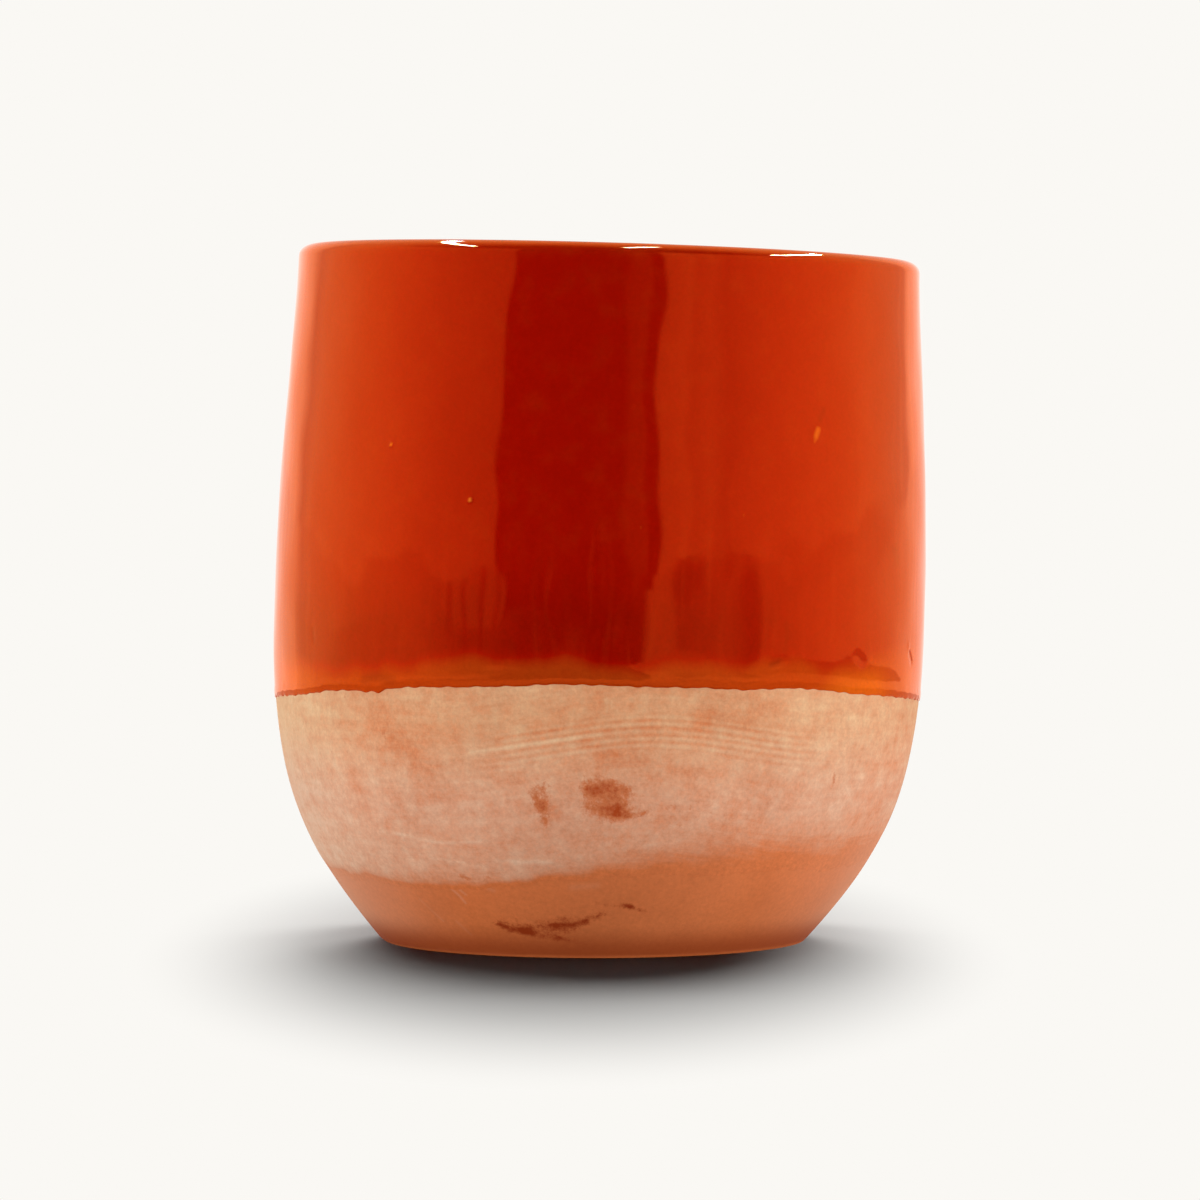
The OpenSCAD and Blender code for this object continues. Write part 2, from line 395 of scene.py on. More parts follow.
class CupColours(bpy.types.PropertyGroup):
    """Colours of the clay, its coats and the studio."""

    clay: bpy.props.FloatVectorProperty(
        name="Fired Clay", description="Bare earthenware",
        default=linear("#C86A38"), size=4, subtype="COLOR", min=0, max=1,
    )
    clay_dark: bpy.props.FloatVectorProperty(
        name="Dark Clay", description="Bare earthenware where it is denser or stained",
        default=linear("#9C4B1D"), size=4, subtype="COLOR", min=0, max=1,
    )
    slip: bpy.props.FloatVectorProperty(
        name="Slip", description="Chalky slip at its thickest",
        default=linear("#D2AA8E"), size=4, subtype="COLOR", min=0, max=1,
    )
    slip_buff: bpy.props.FloatVectorProperty(
        name="Buff Slip", description="The slip near the glaze, where it is warmer in colour",
        default=linear("#D4AC84"), size=4, subtype="COLOR", min=0, max=1,
    )
    glaze: bpy.props.FloatVectorProperty(
        name="Glaze", description="Glaze at its full thickness",
        default=linear("#9E0E00"), size=4, subtype="COLOR", min=0, max=1,
    )
    glaze_pooled: bpy.props.FloatVectorProperty(
        name="Pooled Glaze", description="Glaze where it ran down and pooled",
        default=linear("#740800"), size=4, subtype="COLOR", min=0, max=1,
    )
    glaze_thin: bpy.props.FloatVectorProperty(
        name="Thin Glaze", description="Glaze where it thins over an edge",
        default=linear("#A84840"), size=4, subtype="COLOR", min=0, max=1,
    )
    backdrop: bpy.props.FloatVectorProperty(
        name="Backdrop", description="Pale floor and background",
        default=linear("#FAF8F4"), size=4, subtype="COLOR", min=0, max=1,
    )


def curve(a, b, c, d):
    """Points on a cubic that leaves a towards b and reaches d from c."""
    a, b, c, d = (np.array(point) for point in (a, b, c, d))
    t = np.linspace(0, 1, CURVE_POINTS)[:, None]
    return (1 - t) ** 3 * a + 3 * (1 - t) ** 2 * t * b + 3 * (1 - t) * t ** 2 * c + t ** 3 * d


def arc(centre, across, rise, start, end):
    """Points on an ellipse's arc, its angles in degrees."""
    turn = np.radians(np.linspace(start, end, ARC_POINTS))
    return np.array(centre) + np.c_[across * np.cos(turn), rise * np.sin(turn)]


def outer_outline(sizes):
    """The clay's outside, from the middle of the sole to the crest of the lip."""
    foot = sizes.foot_diameter / 2
    belly = sizes.belly_diameter / 2
    mouth = sizes.mouth_diameter / 2
    edge = sizes.foot_edge_radius
    flare = sizes.foot_flare_angle
    draw_in = sizes.lip_draw_in_angle
    sole = foot * math.sin(sizes.axis_lean_angle) + SOLE_MARGIN
    spring = edge * (1 - math.sin(flare)) - sole
    lip_base = sizes.cup_height - sizes.lip_crown
    lower = sizes.belly_height - spring
    upper = lip_base - sizes.belly_height
    foot_edge = arc((foot - edge * math.cos(flare), edge - sole), edge, edge, -90, -math.degrees(flare))
    lower_wall = curve(
        (foot, spring),
        (foot + FOOT_CURVE * lower * math.sin(flare), spring + FOOT_CURVE * lower * math.cos(flare)),
        (belly, sizes.belly_height - BELOW_BELLY * lower),
        (belly, sizes.belly_height),
    )
    upper_wall = curve(
        (belly, sizes.belly_height),
        (belly, sizes.belly_height + ABOVE_BELLY * upper),
        (mouth + BELOW_LIP * upper * math.sin(draw_in), lip_base - BELOW_LIP * upper * math.cos(draw_in)),
        (mouth, lip_base),
    )
    half_lip = sizes.lip_thickness / 2
    lip = arc((mouth - half_lip, lip_base), half_lip, sizes.lip_crown, 0, 90)
    return np.vstack([[(0, -sole)], foot_edge, lower_wall[1:], upper_wall[1:], lip[1:]])


def inner_outline(sizes):
    """The clay's inside, from the crest of the lip to the middle of the floor."""
    belly = sizes.belly_diameter / 2 - sizes.wall_thickness
    mouth = sizes.mouth_diameter / 2 - sizes.lip_thickness
    draw_in = sizes.lip_draw_in_angle
    lip_base = sizes.cup_height - sizes.lip_crown
    upper = lip_base - sizes.belly_height
    lower = sizes.belly_height - sizes.floor_thickness
    floor = sizes.floor_diameter / 2
    half_lip = sizes.lip_thickness / 2
    lip = arc((mouth + half_lip, lip_base), half_lip, sizes.lip_crown, 90, 180)
    upper_wall = curve(
        (mouth, lip_base),
        (mouth + BELOW_LIP * upper * math.sin(draw_in), lip_base - BELOW_LIP * upper * math.cos(draw_in)),
        (belly, sizes.belly_height + ABOVE_BELLY * upper),
        (belly, sizes.belly_height),
    )
    lower_wall = curve(
        (belly, sizes.belly_height),
        (belly, sizes.belly_height - INNER_BELLY_CURVE * lower),
        (floor + INNER_FLOOR_CURVE * lower, sizes.floor_thickness),
        (floor, sizes.floor_thickness),
    )
    button = np.linspace(0, 1, ARC_POINTS)
    floor_button = np.c_[
        sizes.floor_button_diameter / 2 * (1 - button),
        sizes.floor_thickness + sizes.floor_button_height * (1 - np.cos(np.pi * button)) / 2,
    ]
    return np.vstack([lip, upper_wall[1:], lower_wall[1:], floor_button])


def distance_along(outline):
    """Distance along an outline at each of its points."""
    steps = np.hypot(*np.diff(outline, axis=0).T)
    return np.concatenate([[0], np.cumsum(steps)])


def smooth(low, high, value):
    """0 below low, 1 above high and an eased rise between them."""
    share = np.clip((value - low) / (high - low), 0, 1)
    return share * share * (3 - 2 * share)


def band(start, full, fade, end, value):
    """1 from full to fade, 0 before start and after end, and an eased rise and fall between them."""
    return smooth(start, full, value) * (1 - smooth(fade, end, value))


def rounded(distance, radius):
    """Share of a coat's thickness at a distance in from its edge, which is round like a bead."""
    return np.sqrt(1 - (1 - np.clip(distance / radius, 0, 1)) ** 2)


def ripples(rows, turn):
    """Height in mm of a coat's fine waves at each turn."""
    return sum(
        height * np.sin(rounds * turn + phase + wander * np.sin(times * turn))
        for height, rounds, phase, wander, times in rows
    )


def around(table, turn):
    """Value at each turn, from rows of degrees and value that close round the cup."""
    table = np.array(table)
    return np.interp(np.degrees(turn), table[:, 0], table[:, 1], period=360)


class Wall:
    """Points and outward directions on the leaning thrown surface."""

    def __init__(self, sizes, outline, distances, turn):
        """Places each distance along the outline at each turn: rows by columns."""
        self.turn = turn
        self.along = np.broadcast_to(distances, (distances.shape[0], turn.size))
        walked = distance_along(outline)
        radius = np.interp(self.along, walked, outline[:, 0])
        height = np.interp(self.along, walked, outline[:, 1])
        slope = np.gradient(outline, walked, axis=0)
        across = np.interp(self.along, walked, slope[:, 0])
        rise = np.interp(self.along, walked, slope[:, 1])
        size = np.hypot(across, rise)
        self.height = height
        self.lean = sizes.axis_lean_angle
        self.points = self.leaning(radius, height)
        self.outward = self.leaning(rise / size, -across / size)

    def leaning(self, radius, height):
        """Vectors of the leaning frame, from their part away from the axis and along it."""
        x = radius * np.sin(self.turn)
        return np.stack([
            x * math.cos(self.lean) + height * math.sin(self.lean),
            -radius * np.cos(self.turn),
            height * math.cos(self.lean) - x * math.sin(self.lean),
        ], axis=-1)

    def lifted(self, amount):
        """The points moved outward."""
        return self.points + self.outward * amount[..., None]


def unevenness(turn, height, sizes):
    """How far the outside stands out from the true revolve."""
    share = height / sizes.cup_height
    out = sum(
        depth * MM * np.sin(rounds * turn + 2 * np.pi * climbs * share + phase)
        for depth, rounds, climbs, phase in WALL_WAVES
    )
    low = 1 - smooth(*LOW_PUSH_FADE, share)
    return out * smooth(0.0, FIRM_FOOT, share) - LOW_PUSH * np.sin(turn) * low


def glaze_line(sizes, turn, y):
    """Height of the glaze's lower edge, with its drift, drips and fine scallops."""
    drift = around(GLAZE_LINE_DRIFT, turn) + ripples(GLAZE_SCALLOPS, turn)
    return sizes.glaze_line_height - y * math.tan(sizes.glaze_line_tilt) + drift * MM


def slip_edge(turn):
    """Height of the slip's lower edge, and the width over which it fades above it."""
    height = around([(row[0], row[1]) for row in SLIP_EDGE], turn)
    fade = around([(row[0], row[2]) for row in SLIP_EDGE], turn)
    return (height + ripples(SLIP_RAGS, turn)) * MM, fade * MM


def crossing(sizes, outline, turn, line):
    """Distance along the outline at which each column passes a line's height."""
    walked = distance_along(outline)
    wall = Wall(sizes, outline, walked[:, None], turn)
    above = wall.points[..., 2] - line(turn, wall.points[..., 1])
    start = np.searchsorted(outline[:, 0] >= sizes.foot_diameter / 2, True)
    return np.array([np.interp(0, above[start:, j], walked[start:]) for j in range(turn.size)])


def strokes(sizes, outline, points, rows):
    """How strongly a table's brush or finger marks touch each point."""
    marks = np.zeros(points.shape[:2])
    for strength, half, *bends in rows:
        half = half * MM
        turn = np.radians([bend[0] for bend in bends])
        height = np.array([bend[1] for bend in bends]) * MM
        along = crossing(sizes, outline, turn, lambda turn, y: height)
        path = Wall(sizes, outline, along[None, :], turn).points[0]
        reach = 3 * half
        low, high = path.min(axis=0) - reach, path.max(axis=0) + reach
        near = np.all((points > low) & (points < high), axis=-1)
        place = points[near]
        nearest = np.linalg.norm(place - path[0], axis=-1)
        for start, end in zip(path[:-1], path[1:]):
            step = end - start
            share = np.clip((place - start) @ step / (step @ step), 0, 1)
            foot = start + share[:, None] * step
            nearest = np.minimum(nearest, np.linalg.norm(place - foot, axis=-1))
        marks[near] += strength * np.exp(-(nearest / half) ** 2)
    return marks


def shell_mesh(name, rings, closed=False, first_pole=None, last_pole=None):
    """A mesh of quads between rings of points, either joined up or closed by a fan at each end."""
    rows, columns = rings.shape[:2]
    points = rings.reshape(-1, 3)
    row = np.arange(rows if closed else rows - 1)[:, None]
    column = np.arange(columns)[None, :]
    upper, beside = (row + 1) % rows, (column + 1) % columns
    quads = np.stack([
        row * columns + column,
        row * columns + beside,
        upper * columns + beside,
        upper * columns + column,
    ], axis=-1).reshape(-1, 4)
    faces = quads.tolist()
    ring = np.arange(columns)
    if first_pole is not None:
        faces += np.stack([np.full(columns, len(points)), np.roll(ring, -1), ring], axis=-1).tolist()
        points = np.vstack([points, first_pole])
    if last_pole is not None:
        last = ring + (rows - 1) * columns
        faces += np.stack([last, np.roll(last, -1), np.full(columns, len(points))], axis=-1).tolist()
        points = np.vstack([points, last_pole])
    mesh = bpy.data.meshes.new(name)
    mesh.from_pydata(points.tolist(), [], faces)
    mesh.shade_smooth()
    mesh.update()
    return mesh


def store(mesh, name, values):
    """Keeps one number or vector for each point of the rings; a pole gets zero."""
    vector = values.ndim == 3
    flat = np.zeros((len(mesh.vertices), 3) if vector else len(mesh.vertices), np.float32)
    kept = values.reshape(-1, 3) if vector else values.reshape(-1)
    flat[:len(kept)] = kept
    attribute = mesh.attributes.new(name, "FLOAT_VECTOR" if vector else "FLOAT", "POINT")
    attribute.data.foreach_set("vector" if vector else "value", flat.ravel())


def add_piece(context, name, mesh, material):
    """Links a piece that stands for the CAD node of the same name and rides on the body."""
    mesh.materials.append(material)
    piece = bpy.data.objects.new(name + "_surface", mesh)
    context.scene.collection.objects.link(piece)
    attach(piece, BODY)
    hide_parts(name)


def add_node(tree, kind, settings=None, inputs=None):
    """Adds a node with its settings, and gives each input a value or another node's output."""
    node = tree.nodes.new(kind)
    for name, value in (settings or {}).items():
        setattr(node, name, value)
    for key, value in (inputs or {}).items():
        if isinstance(value, bpy.types.NodeSocket):
            tree.links.new(value, node.inputs[key])
        else:
            node.inputs[key].default_value = value
    return node


def empty_material(name):
    """A material with an empty node tree."""
    material = bpy.data.materials.new(name)
    material.use_nodes = True
    material.node_tree.nodes.clear()
    return material


def per_metre(millimetres):
    """Scale of a pattern whose features are that far apart."""
    return 1 / (millimetres * MM)


def add_mark_share(tree, name, place, low, high):
    """Share of a stored mark, its edge broken up at the grain of the clay."""
    grain_strength = 1.2
    mark = add_node(tree, "ShaderNodeAttribute", {"attribute_name": name})
    grain = add_node(tree, "ShaderNodeTexNoise", inputs={
        "Vector": place, "Scale": per_metre(0.55), "Detail": 4.0, "Roughness": 0.75})
    rough = add_node(tree, "ShaderNodeMath", {"operation": "MULTIPLY_ADD"}, {
        0: grain.outputs["Fac"], 1: grain_strength, 2: mark.outputs["Fac"]})
    return add_node(tree, "ShaderNodeMapRange", {"interpolation_type": "SMOOTHSTEP"}, {
        "Value": rough.outputs[0], "From Min": low + grain_strength / 2,
        "From Max": high + grain_strength / 2}).outputs[0]


def lay_over(tree, colour, *layers):
    """The colour after others are laid over it in turn, each by its own share."""
    for share, over in layers:
        colour = add_node(tree, "ShaderNodeMix", {"data_type": "RGBA"}, {
            0: share, 6: colour, 7: over}).outputs[2]
    return colour


def add_speckle(tree, place, colour, size, depth):
    """The colour made lighter and darker by a fine grain of a size in millimetres."""
    grain = add_node(tree, "ShaderNodeTexNoise", inputs={
        "Vector": place, "Scale": per_metre(size), "Detail": 4.0, "Roughness": 0.75})
    level = add_node(tree, "ShaderNodeMapRange", inputs={
        "Value": grain.outputs["Fac"], "From Min": 0.30, "From Max": 0.70,
        "To Min": 1 - depth, "To Max": 1 + depth})
    return add_node(tree, "ShaderNodeMix", {"data_type": "RGBA", "blend_type": "MULTIPLY"}, {
        0: 1.0, 6: colour, 7: level.outputs[0]}).outputs[2]


def add_fired_clay(tree, colours, place):
    """Colour of bare earthenware: clouded, with a fine dark and light grain."""
    cloud = add_node(tree, "ShaderNodeTexNoise", inputs={
        "Vector": place, "Scale": per_metre(9), "Detail": 4.0, "Roughness": 0.6})
    grain = add_node(tree, "ShaderNodeTexNoise", inputs={
        "Vector": place, "Scale": per_metre(0.9), "Detail": 3.0, "Roughness": 0.7})
    dark = add_node(tree, "ShaderNodeMath", {"operation": "MULTIPLY_ADD"}, {
        0: grain.outputs["Fac"], 1: 0.55, 2: cloud.outputs["Fac"]})
    share = add_node(tree, "ShaderNodeMapRange", inputs={
        "Value": dark.outputs[0], "From Min": 0.50, "From Max": 1.15, "To Min": 0.00, "To Max": 0.46})
    clouded = lay_over(tree, list(colours.clay), (share.outputs[0], list(colours.clay_dark)))
    return add_speckle(tree, place, clouded, 0.6, 0.10)


def fired_clay_material(colours):
    """Low-fired red earthenware, thrown and smoothed by hand: matt, porous and uneven in colour."""
    material = empty_material("fired_earthenware")
    tree = material.node_tree
    place = add_node(tree, "ShaderNodeTexCoord").outputs["Object"]
    clay = add_fired_clay(tree, colours, place)
    # The film also holds painted sheen that pales the clay on the sides
    film_and_sheen, foot_shade = (
        add_node(tree, "ShaderNodeAttribute", {"attribute_name": name}).outputs["Fac"]
        for name in ("film_and_sheen", "foot_shade")
    )
    stain = add_mark_share(tree, "stain", place, 0.14, 0.80)
    # The dark band above the foot is painted shade, where the foot meets the table
    stains_sheen_and_shade = lay_over(
        tree, clay, (film_and_sheen, list(colours.slip)), (foot_shade, linear("#7E2E10")), (stain, linear("#862E0C")))
    pores = add_node(tree, "ShaderNodeTexNoise", inputs={
        "Vector": place, "Scale": per_metre(0.7), "Detail": 4.0, "Roughness": 0.7})
    relief = add_node(tree, "ShaderNodeBump", inputs={
        "Strength": 0.6, "Distance": 0.06 * MM, "Height": pores.outputs["Fac"]})
    surface = add_node(tree, "ShaderNodeBsdfPrincipled", inputs={
        "Base Color": stains_sheen_and_shade, "Roughness": 0.82, "IOR": 1.5, "Normal": relief.outputs[0]})
    add_node(tree, "ShaderNodeOutputMaterial", inputs={"Surface": surface.outputs[0]})
    return material


def slip_material(colours):
    """Pale clay slip, brushed on thin and rubbed: chalky and matt, with the clay showing through."""
    material = empty_material("brushed_slip")
    tree = material.node_tree
    place = add_node(tree, "ShaderNodeTexCoord").outputs["Object"]
    clay = add_fired_clay(tree, colours, place)
    brush = add_node(tree, "ShaderNodeAttribute", {"attribute_name": "brush"})
    share, swept, edge, film_and_sheen = (
        add_node(tree, "ShaderNodeAttribute", {"attribute_name": name}).outputs["Fac"]
        for name in ("cover", "swept", "edge", "film_and_sheen")
    )
    streaks = add_node(tree, "ShaderNodeTexNoise", inputs={
        "Vector": brush.outputs["Vector"], "Scale": per_metre(1.1), "Detail": 4.0, "Roughness": 0.65})
    chalk = add_node(tree, "ShaderNodeTexNoise", inputs={
        "Vector": place, "Scale": per_metre(2.8), "Detail": 6.0, "Roughness": 0.72})
    for pattern, strength in ((streaks, 0.50), (chalk, 1.25)):
        centred = add_node(tree, "ShaderNodeMath", {"operation": "SUBTRACT"}, {
            0: pattern.outputs["Fac"], 1: 0.5})
        share = add_node(tree, "ShaderNodeMath", {"operation": "MULTIPLY_ADD"}, {
            0: centred.outputs[0], 1: strength, 2: share}).outputs[0]
    # The bristles' arcs, 0.93 mm apart
    bristles = add_node(tree, "ShaderNodeTexWave", {"bands_direction": "Z"}, {
        "Vector": brush.outputs["Vector"], "Scale": math.pi / 10 * per_metre(0.93),
        "Distortion": 2.4, "Detail": 2.0, "Detail Scale": 0.5})
    line = add_node(tree, "ShaderNodeMath", {"operation": "SUBTRACT"}, {
        0: bristles.outputs["Fac"], 1: 0.5})
    share = add_node(tree, "ShaderNodeMath", {"operation": "MULTIPLY_ADD", "use_clamp": True}, {
        0: line.outputs[0], 1: swept, 2: share}).outputs[0]
    # No slip at all where its edge fades out, with bristle marks in the fade
    ragged = add_node(tree, "ShaderNodeMath", {"operation": "MULTIPLY_ADD"}, {
        0: streaks.outputs["Fac"], 1: 0.9, 2: edge})
    kept = add_node(tree, "ShaderNodeMapRange", {"interpolation_type": "SMOOTHSTEP"}, {
        "Value": ragged.outputs[0], "From Min": 0.45, "From Max": 1.20})
    # Kept where the edge holds; then the chalky film, with its painted sheen on the sides, sets the least
    # share of slip colour
    for operation, other in (("MULTIPLY", kept.outputs[0]), ("MULTIPLY", edge), ("MAXIMUM", film_and_sheen)):
        share = add_node(tree, "ShaderNodeMath", {"operation": operation}, {0: share, 1: other}).outputs[0]
    height = add_node(tree, "ShaderNodeSeparateXYZ", inputs={0: place})
    dryness = add_node(tree, "ShaderNodeMapRange", {"interpolation_type": "SMOOTHSTEP"}, {
        "Value": height.outputs["Z"], "From Min": 19 * MM, "From Max": 32 * MM})
    chalky = lay_over(tree, list(colours.slip), (dryness.outputs[0], list(colours.slip_buff)))
    # Rubbed places go from a warm stain to bare clay in their middle
    rubbed = add_mark_share(tree, "worn", place, 0.10, 0.55)
    bare = add_mark_share(tree, "worn", place, 0.42, 1.05)
    worn = lay_over(tree, clay, (share, chalky), (rubbed, linear("#BA6A42")), (bare, linear("#9C3C14")))
    finished = add_speckle(tree, place, worn, 0.5, 0.10)
    relief = add_node(tree, "ShaderNodeBump", inputs={
        "Strength": 0.7, "Distance": 0.09 * MM, "Height": share})
    surface = add_node(tree, "ShaderNodeBsdfPrincipled", inputs={
        "Base Color": finished, "Roughness": 0.88, "IOR": 1.45, "Normal": relief.outputs[0]})
    add_node(tree, "ShaderNodeOutputMaterial", inputs={"Surface": surface.outputs[0]})
    return material


def glaze_material(name, colours):
    """Glossy red-orange lead glaze: wet-looking, deep red where thick, orange where thin."""
    material = empty_material(name)
    tree = material.node_tree
    place = add_node(tree, "ShaderNodeTexCoord").outputs["Object"]
    thin, flecks_and_painted_light = (
        add_node(tree, "ShaderNodeAttribute", {"attribute_name": name}).outputs["Fac"]
        for name in ("thin", "flecks_and_painted_light")
    )
    mottle = add_node(tree, "ShaderNodeTexNoise", inputs={
        "Vector": place, "Scale": per_metre(2.6), "Detail": 4.0, "Roughness": 0.6})
    thinned = add_node(tree, "ShaderNodeMath", {"operation": "MULTIPLY_ADD"}, {
        0: mottle.outputs["Fac"], 1: 0.45, 2: thin})
    # Each shade and fleck: the levels where it starts and where it is full, and how far it covers
    shades = (
        (thinned.outputs[0], 0.225, -0.775, 1.0, list(colours.glaze_pooled)),
        (thinned.outputs[0], 0.225, 1.225, 1.0, list(colours.glaze_thin)),
        # Pale for the flecks and the painted sheen, dark for the smudges and the painted shade in the
        # dents
        (flecks_and_painted_light, 0.10, 0.70, 1.0, linear("#E69AA8")),
        (flecks_and_painted_light, -0.10, -0.75, 0.75, linear("#4A0804")),
    )
    colour = list(colours.glaze)
    for level, start, full, most, shade in shades:
        share = add_node(tree, "ShaderNodeMapRange", inputs={
            "Value": level, "From Min": start, "From Max": full, "To Max": most})
        colour = lay_over(tree, colour, (share.outputs[0], shade))
    colour = add_speckle(tree, place, colour, 0.5, 0.10)
    ripple = add_node(tree, "ShaderNodeTexNoise", inputs={
        "Vector": place, "Scale": per_metre(3.5), "Detail": 3.0, "Roughness": 0.5})
    relief = add_node(tree, "ShaderNodeBump", inputs={
        "Strength": 0.5, "Distance": 0.014 * MM, "Height": ripple.outputs["Fac"]})
    # A wet gloss that warms whatever it mirrors, under a faint yellow depth
    surface = add_node(tree, "ShaderNodeBsdfPrincipled", inputs={
        "Base Color": colour, "Roughness": 0.035, "IOR": 2.0, "Normal": relief.outputs[0],
        "Specular Tint": linear("#FF7648"), "Coat Weight": 1.0, "Coat Roughness": 0.02,
        "Coat IOR": 1.063, "Coat Tint": linear("#FFCB40"), "Coat Normal": relief.outputs[0]})
    add_node(tree, "ShaderNodeOutputMaterial", inputs={"Surface": surface.outputs[0]})
    return material


def turns(columns):
    """The turn of each column of points."""
    return np.arange(columns) / columns * 2 * np.pi - np.pi


class CUP_OT_clay_body(bpy.types.Operator):
    """Throw the clay body, with its cut sole and the fingers' spiral inside"""

    bl_idname = "clay_cup.clay_body"
    bl_label = "Throw Clay Body"

    def execute(self, context):
        sizes = context.scene.cup_sizes
        turn = turns(FINE_COLUMNS)
        outer = outer_outline(sizes)
        length = distance_along(outer)[-1]
        foot = sizes.foot_diameter / 2
        sole_rows = np.linspace(POLE_RADIUS, foot - FOOT_INSET, SOLE_ROWS)
        bare_rows = np.linspace(foot - FOOT_INSET, foot + BARE_REACH, BARE_ROWS)[1:]
        hidden_rows = np.linspace(foot + BARE_REACH, length, HIDDEN_ROWS)[1:]
        wall = Wall(sizes, outer, np.concatenate([sole_rows, bare_rows, hidden_rows])[:, None], turn)
        outside = wall.lifted(unevenness(turn, wall.height, sizes))
        inner = inner_outline(sizes)
        end = distance_along(inner)[-1]
        inside = Wall(sizes, inner, np.linspace(0, end - POLE_RADIUS, INSIDE_ROWS)[1:, None], turn)
        rings = np.vstack([outside, inside.lifted(finger_spiral(turn, inside.height, sizes))])
        rings[..., 2] = cut_level(rings)
        floor_middle = Wall(sizes, inner, np.array([[end]]), turn[:1]).points[0, 0]
        mesh = shell_mesh("clay_body", rings, first_pole=SOLE_MIDDLE, last_pole=floor_middle)
        height = rings[..., 2]
        # Painted shade in a dark band just above the foot
        store(mesh, "foot_shade", FOOT_SHADE * band(*FOOT_SHADE_BAND, height))
        store(mesh, "stain", strokes(sizes, outer, rings, CLAY_STAINS))
        # Chalky film with painted sheen that pales the sides, and the pale scratches
        film_and_sheen = around(CLAY_FILM_AND_SHEEN, turn) * smooth(0.0, FILM_AND_SHEEN_RISE, height)
        store(mesh, "film_and_sheen", film_and_sheen + strokes(sizes, outer, rings, CLAY_SCRATCHES))
        add_piece(context, "clay_body", mesh, fired_clay_material(context.scene.cup_colours))
        return {"FINISHED"}


def cut_level(points):
    """Heights after the cord's cut: level at the table, with its shell-shaped grooves in the sole."""
    x, y, z = points[..., 0], points[..., 1], points[..., 2]
    cut = (z + np.sqrt(z * z + CUT_SOFTNESS ** 2)) / 2
    arcs = np.hypot(x - CORD_MIDDLE[0], y - CORD_MIDDLE[1])
    groove = (1 - np.cos(2 * np.pi * arcs / CORD_SPACING)) / 2
    under = (1 - smooth(*CORD_HEIGHTS, z)) * (1 - smooth(*CORD_REACH, np.hypot(x, y)))
    return cut + CORD_DEPTH * groove * under


def finger_spiral(turn, height, sizes):
    """How far the fingers' spiral stands in from the smooth inside wall."""
    top = sizes.cup_height - sizes.lip_crown
    reach = SPIRAL_FADE * (top - sizes.floor_thickness)
    fade = smooth(0, reach, height - sizes.floor_thickness) * smooth(0, reach, top - height)
    wave = np.cos(2 * np.pi * (height - sizes.floor_thickness) / sizes.throwing_ring_pitch + turn)
    return sizes.throwing_ring_depth * (1 - wave) / 2 * fade


class CUP_OT_slip_wash(bpy.types.Operator):
    """Brush the chalky slip on the lower wall"""

    bl_idname = "clay_cup.slip_wash"
    bl_label = "Brush Slip Wash"

    def execute(self, context):
        sizes = context.scene.cup_sizes
        turn = turns(FINE_COLUMNS)
        outer = outer_outline(sizes)
        low = crossing(sizes, outer, turn, lambda turn, y: slip_edge(turn)[0])
        high = crossing(sizes, outer, turn, lambda turn, y: glaze_line(sizes, turn, y))
        first = low + np.array(SLIP_EDGE_ROWS)[:, None] * MM
        share = np.linspace(0, 1, SLIP_ROWS)[1:, None]
        rest = first[-1] + (high + SLIP_UNDER_GLAZE - first[-1]) * share
        wall = Wall(sizes, outer, np.vstack([first, rest]), turn)
        above = wall.points[..., 2] - slip_edge(turn)[0]
        edge = np.sqrt(smooth(0, 1, above / slip_edge(turn)[1]))
        worn = strokes(sizes, outer, wall.points, SLIP_WORN)
        blotches = strokes(sizes, outer, wall.points, SLIP_BLOTCHES)
        thickness = sizes.slip_thickness * rounded(wall.along - low, SLIP_EDGE_ROUND)
        thickness *= FADED_SLIP + (1 - FADED_SLIP) * edge ** 2
        thickness *= 1 - RUBBED_OFF * np.clip(worn, 0, 1)
        base = unevenness(turn, wall.height, sizes)
        rings = np.vstack([wall.lifted(base + thickness), wall.lifted(base)[::-4]])
        mesh = shell_mesh("slip_wash", rings, closed=True)
        crest = ARC_CREST - ARC_FALL * smooth(0, ARC_SPREAD, np.abs(turn - ARC_TURN))
        across = wall.points[..., 2] - crest
        store(mesh, "cover", around(SLIP_COVER, turn) + blotches)
        store(mesh, "edge", edge)
        # The chalky film with its painted sheen on the sides, as on the bare clay
        store(mesh, "film_and_sheen", np.broadcast_to(around(CLAY_FILM_AND_SHEEN, turn), edge.shape))
        store(mesh, "worn", worn)
        store(mesh, "swept", ARC_STRENGTH * band(*ARC_BAND, across) * band(*ARC_TURNS, turn))
        flat = wall.points[..., :2] * STREAK_SHARE
        store(mesh, "brush", np.concatenate([flat, across[..., None]], axis=-1))
        add_piece(context, "slip_wash", mesh, slip_material(context.scene.cup_colours))
        return {"FINISHED"}


